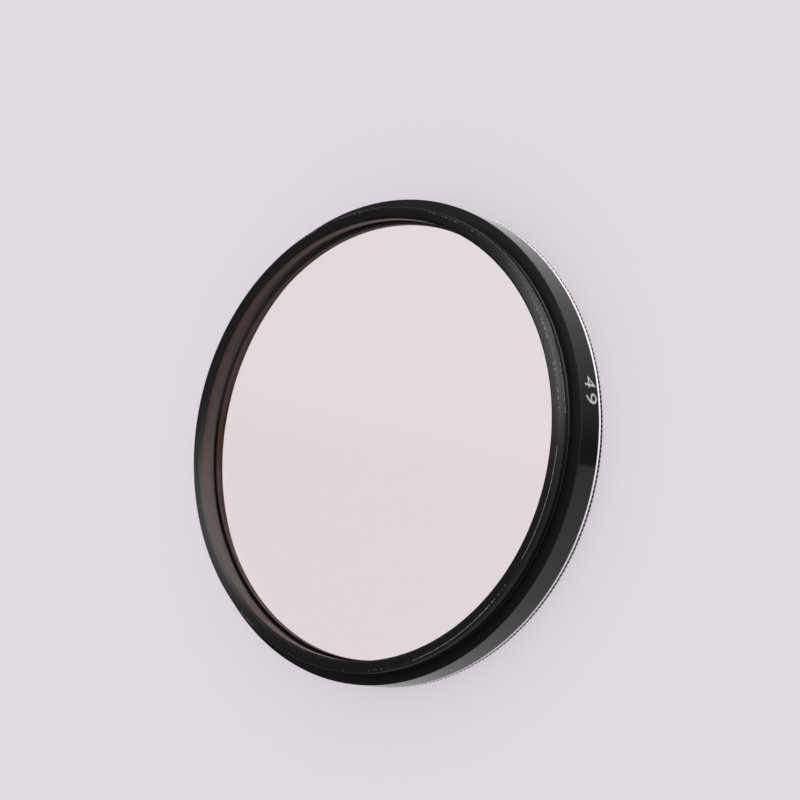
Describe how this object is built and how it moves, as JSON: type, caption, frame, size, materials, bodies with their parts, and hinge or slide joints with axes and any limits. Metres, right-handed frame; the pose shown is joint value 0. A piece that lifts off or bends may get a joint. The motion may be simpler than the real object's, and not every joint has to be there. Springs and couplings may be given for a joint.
{
  "type": "skylight filter",
  "caption": "Screw-in round camera lens filter: pale pink glass in a thin black anodised ring with a male thread, a flat shoulder and a knurled front edge.",
  "frame": {"origin": "centre of the knurled front face, on the surface that the filter lies on", "axes": "+Z along the optical axis, from the front face up towards the male thread; +X through one spanner slot of the retaining ring"},
  "size_m": [0.0512, 0.0512, 0.006],
  "materials": {
    "ring": "glossy black anodised, turned",
    "glass": "clear, faintly pink, coated and polished",
    "retainer": "satin black anodised"
  },
  "bodies": {
    "root": {"filter_ring": "ring", "filter_glass": "glass", "retaining_ring": "retainer"}
  },
  "joints": []
}
